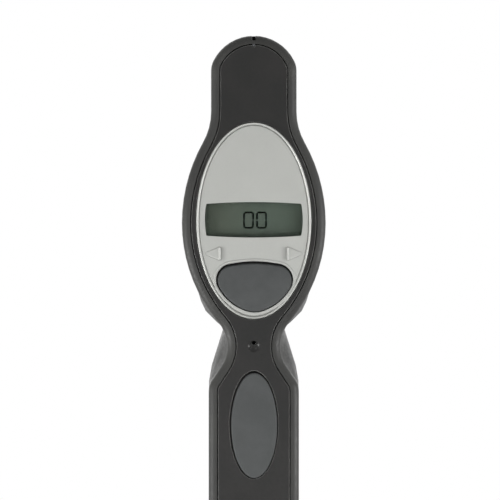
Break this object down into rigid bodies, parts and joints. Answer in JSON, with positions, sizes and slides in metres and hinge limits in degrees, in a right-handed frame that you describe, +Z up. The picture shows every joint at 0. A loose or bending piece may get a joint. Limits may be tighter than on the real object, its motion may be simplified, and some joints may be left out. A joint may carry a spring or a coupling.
{
  "type": "ophthalmic tonometer",
  "caption": "Slim hand-held rebound tonometer with an oval display head, a probe nose, a wound forehead rest and a battery handle.",
  "frame": {"origin": "middle of the handle's flat end", "axes": "+Z up the handle to the head, +Y along the probe towards the patient, +X to the right as the display is read"},
  "size_m": [0.0318, 0.0843, 0.23],
  "materials": {
    "shell_plastic": "fine spark-eroded texture",
    "cap_plastic": "fine spark-eroded texture",
    "panel_plastic": "smooth satin",
    "bezel_silver": "silver paint",
    "overlay_silver": "silver satin film",
    "window_clear": "clear, slightly tinted",
    "lcd": "liquid crystal cell, grey-green",
    "white_plastic": "moulded, natural white",
    "button_grey": "matt elastomer",
    "board_green": "solder mask",
    "black_plastic": "moulded",
    "nose_plastic": "fine texture",
    "collar_metal": "satin",
    "steel": "satin",
    "copper": "enamelled copper wire",
    "guide_plastic": "moulded",
    "bar_metal": "satin",
    "pad_rubber": "soft matt",
    "wheel_plastic": "fine texture",
    "tray_plastic": "moulded",
    "cell_can": "printed sleeve over a can, no text",
    "contact_steel": "nickel plate"
  },
  "bodies": {
    "housing": {"left_shell": "shell_plastic", "right_shell": "shell_plastic", "end_cap": "cap_plastic", "back_panel": "panel_plastic", "display_bezel": "bezel_silver", "keypad_overlay": "overlay_silver", "display_window": "window_clear", "lcd_glass": "lcd", "lcd_holder": "white_plastic", "grip_pad": "button_grey", "circuit_board": "board_green", "board_chips": "black_plastic", "key_switches": "black_plastic", "buzzer": "black_plastic", "nose_housing": "nose_plastic", "probe_base": "steel", "coil_bobbin": "white_plastic", "drive_coil": "copper", "sensing_coil": "copper", "rest_guide": "guide_plastic", "battery_tray": "tray_plastic", "aa_cell_1": "cell_can", "aa_cell_2": "cell_can", "aa_cell_3": "cell_can", "aa_cell_4": "cell_can", "bridge_contact": "contact_steel", "plus_contact": "contact_steel", "minus_contact": "contact_steel", "lower_spring": "contact_steel", "upper_spring": "contact_steel", "case_screws": "steel"},
    "measurement_button": {"measurement_button": "button_grey"},
    "left_key": {"selector_key_left": "overlay_silver"},
    "right_key": {"selector_key_right": "overlay_silver"},
    "probe": {"probe": "steel"},
    "collar": {"collar": "collar_metal"},
    "forehead_rest": {"rest_bar": "bar_metal", "forehead_pad": "pad_rubber"},
    "wheel": {"adjusting_wheel": "wheel_plastic", "wheel_dial": "wheel_plastic"},
    "battery_door": {"battery_door": "shell_plastic"},
    "door_lock": {"door_lock": "steel"}
  },
  "joints": [
    {"name": "measurement_button_press", "type": "slide", "parent": "housing", "child": "measurement_button", "axis": [0, 1, 0], "range_m": [0, 0.0008], "stiffness_N_per_m": 1500, "springref_m": -0.0005},
    {"name": "left_key_press", "type": "slide", "parent": "housing", "child": "left_key", "axis": [0, 1, 0], "range_m": [0, 0.0005], "stiffness_N_per_m": 1500, "springref_m": -0.0005},
    {"name": "right_key_press", "type": "slide", "parent": "housing", "child": "right_key", "axis": [0, 1, 0], "range_m": [0, 0.0005], "stiffness_N_per_m": 1500, "springref_m": -0.0005},
    {"name": "probe_launch", "type": "slide", "parent": "housing", "child": "probe", "axis": [0, 1, 0], "range_m": [0, 0.008], "stiffness_N_per_m": 3},
    {"name": "collar_turn", "type": "hinge", "parent": "housing", "child": "collar", "pos_m": [0, 0.053, 0.187], "axis": [0, 1, 0], "range_deg": [0, 1080]},
    {"name": "rest_slide", "type": "slide", "parent": "housing", "child": "forehead_rest", "axis": [0, 1, 0], "range_m": [0, 0.024]},
    {"name": "wheel_turn", "type": "hinge", "parent": "housing", "child": "wheel", "pos_m": [0, 0.01, 0.214], "axis": [-1, 0, 0], "range_deg": [0, 343.8]},
    {"name": "door_slide", "type": "slide", "parent": "housing", "child": "battery_door", "axis": [1, 0, 0], "range_m": [0, 0.02]},
    {"name": "lock_turn", "type": "hinge", "parent": "battery_door", "child": "door_lock", "pos_m": [0.009, 0, 0.1396], "axis": [1, 0, 0], "range_deg": [0, 90]}
  ],
  "couplings": [
    {"joint": "wheel_turn", "follows": "rest_slide", "rad_per_m": 250}
  ]
}
